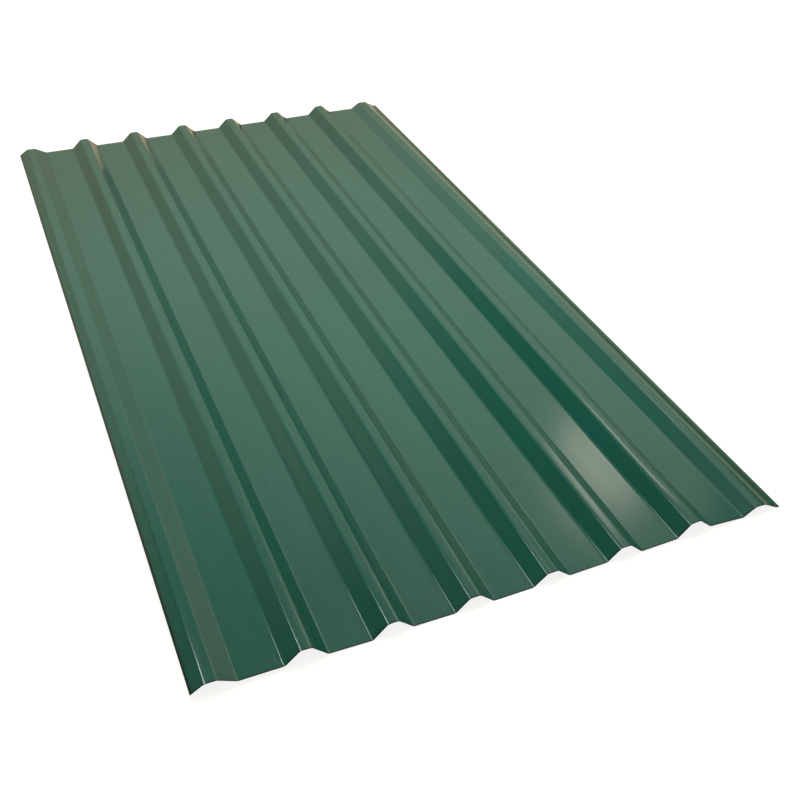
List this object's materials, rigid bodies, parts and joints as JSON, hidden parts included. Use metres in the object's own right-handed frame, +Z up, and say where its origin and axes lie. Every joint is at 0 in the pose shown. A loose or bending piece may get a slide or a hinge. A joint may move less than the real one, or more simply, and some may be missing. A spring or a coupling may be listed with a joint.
{
  "type": "profiled metal roofing sheet",
  "caption": "Long rectangular steel sheet, roll-formed into flat pans, trapezoid ribs and low lap ribs, colour coated, for cladding roofs and walls.",
  "frame": {"origin": "middle of the sheet's footprint, level with the underside of the pans that it lies on", "axes": "+Y along the ribs, +X across them towards the side with the flat lip, +Z up out of the weather side"},
  "size_m": [1.0776, 2, 0.024],
  "materials": {
    "colour_coated_steel": "smooth semi-gloss moss-green stove enamel over galvanised steel"
  },
  "bodies": {
    "root": {"roofing_sheet": "colour_coated_steel"}
  },
  "joints": []
}
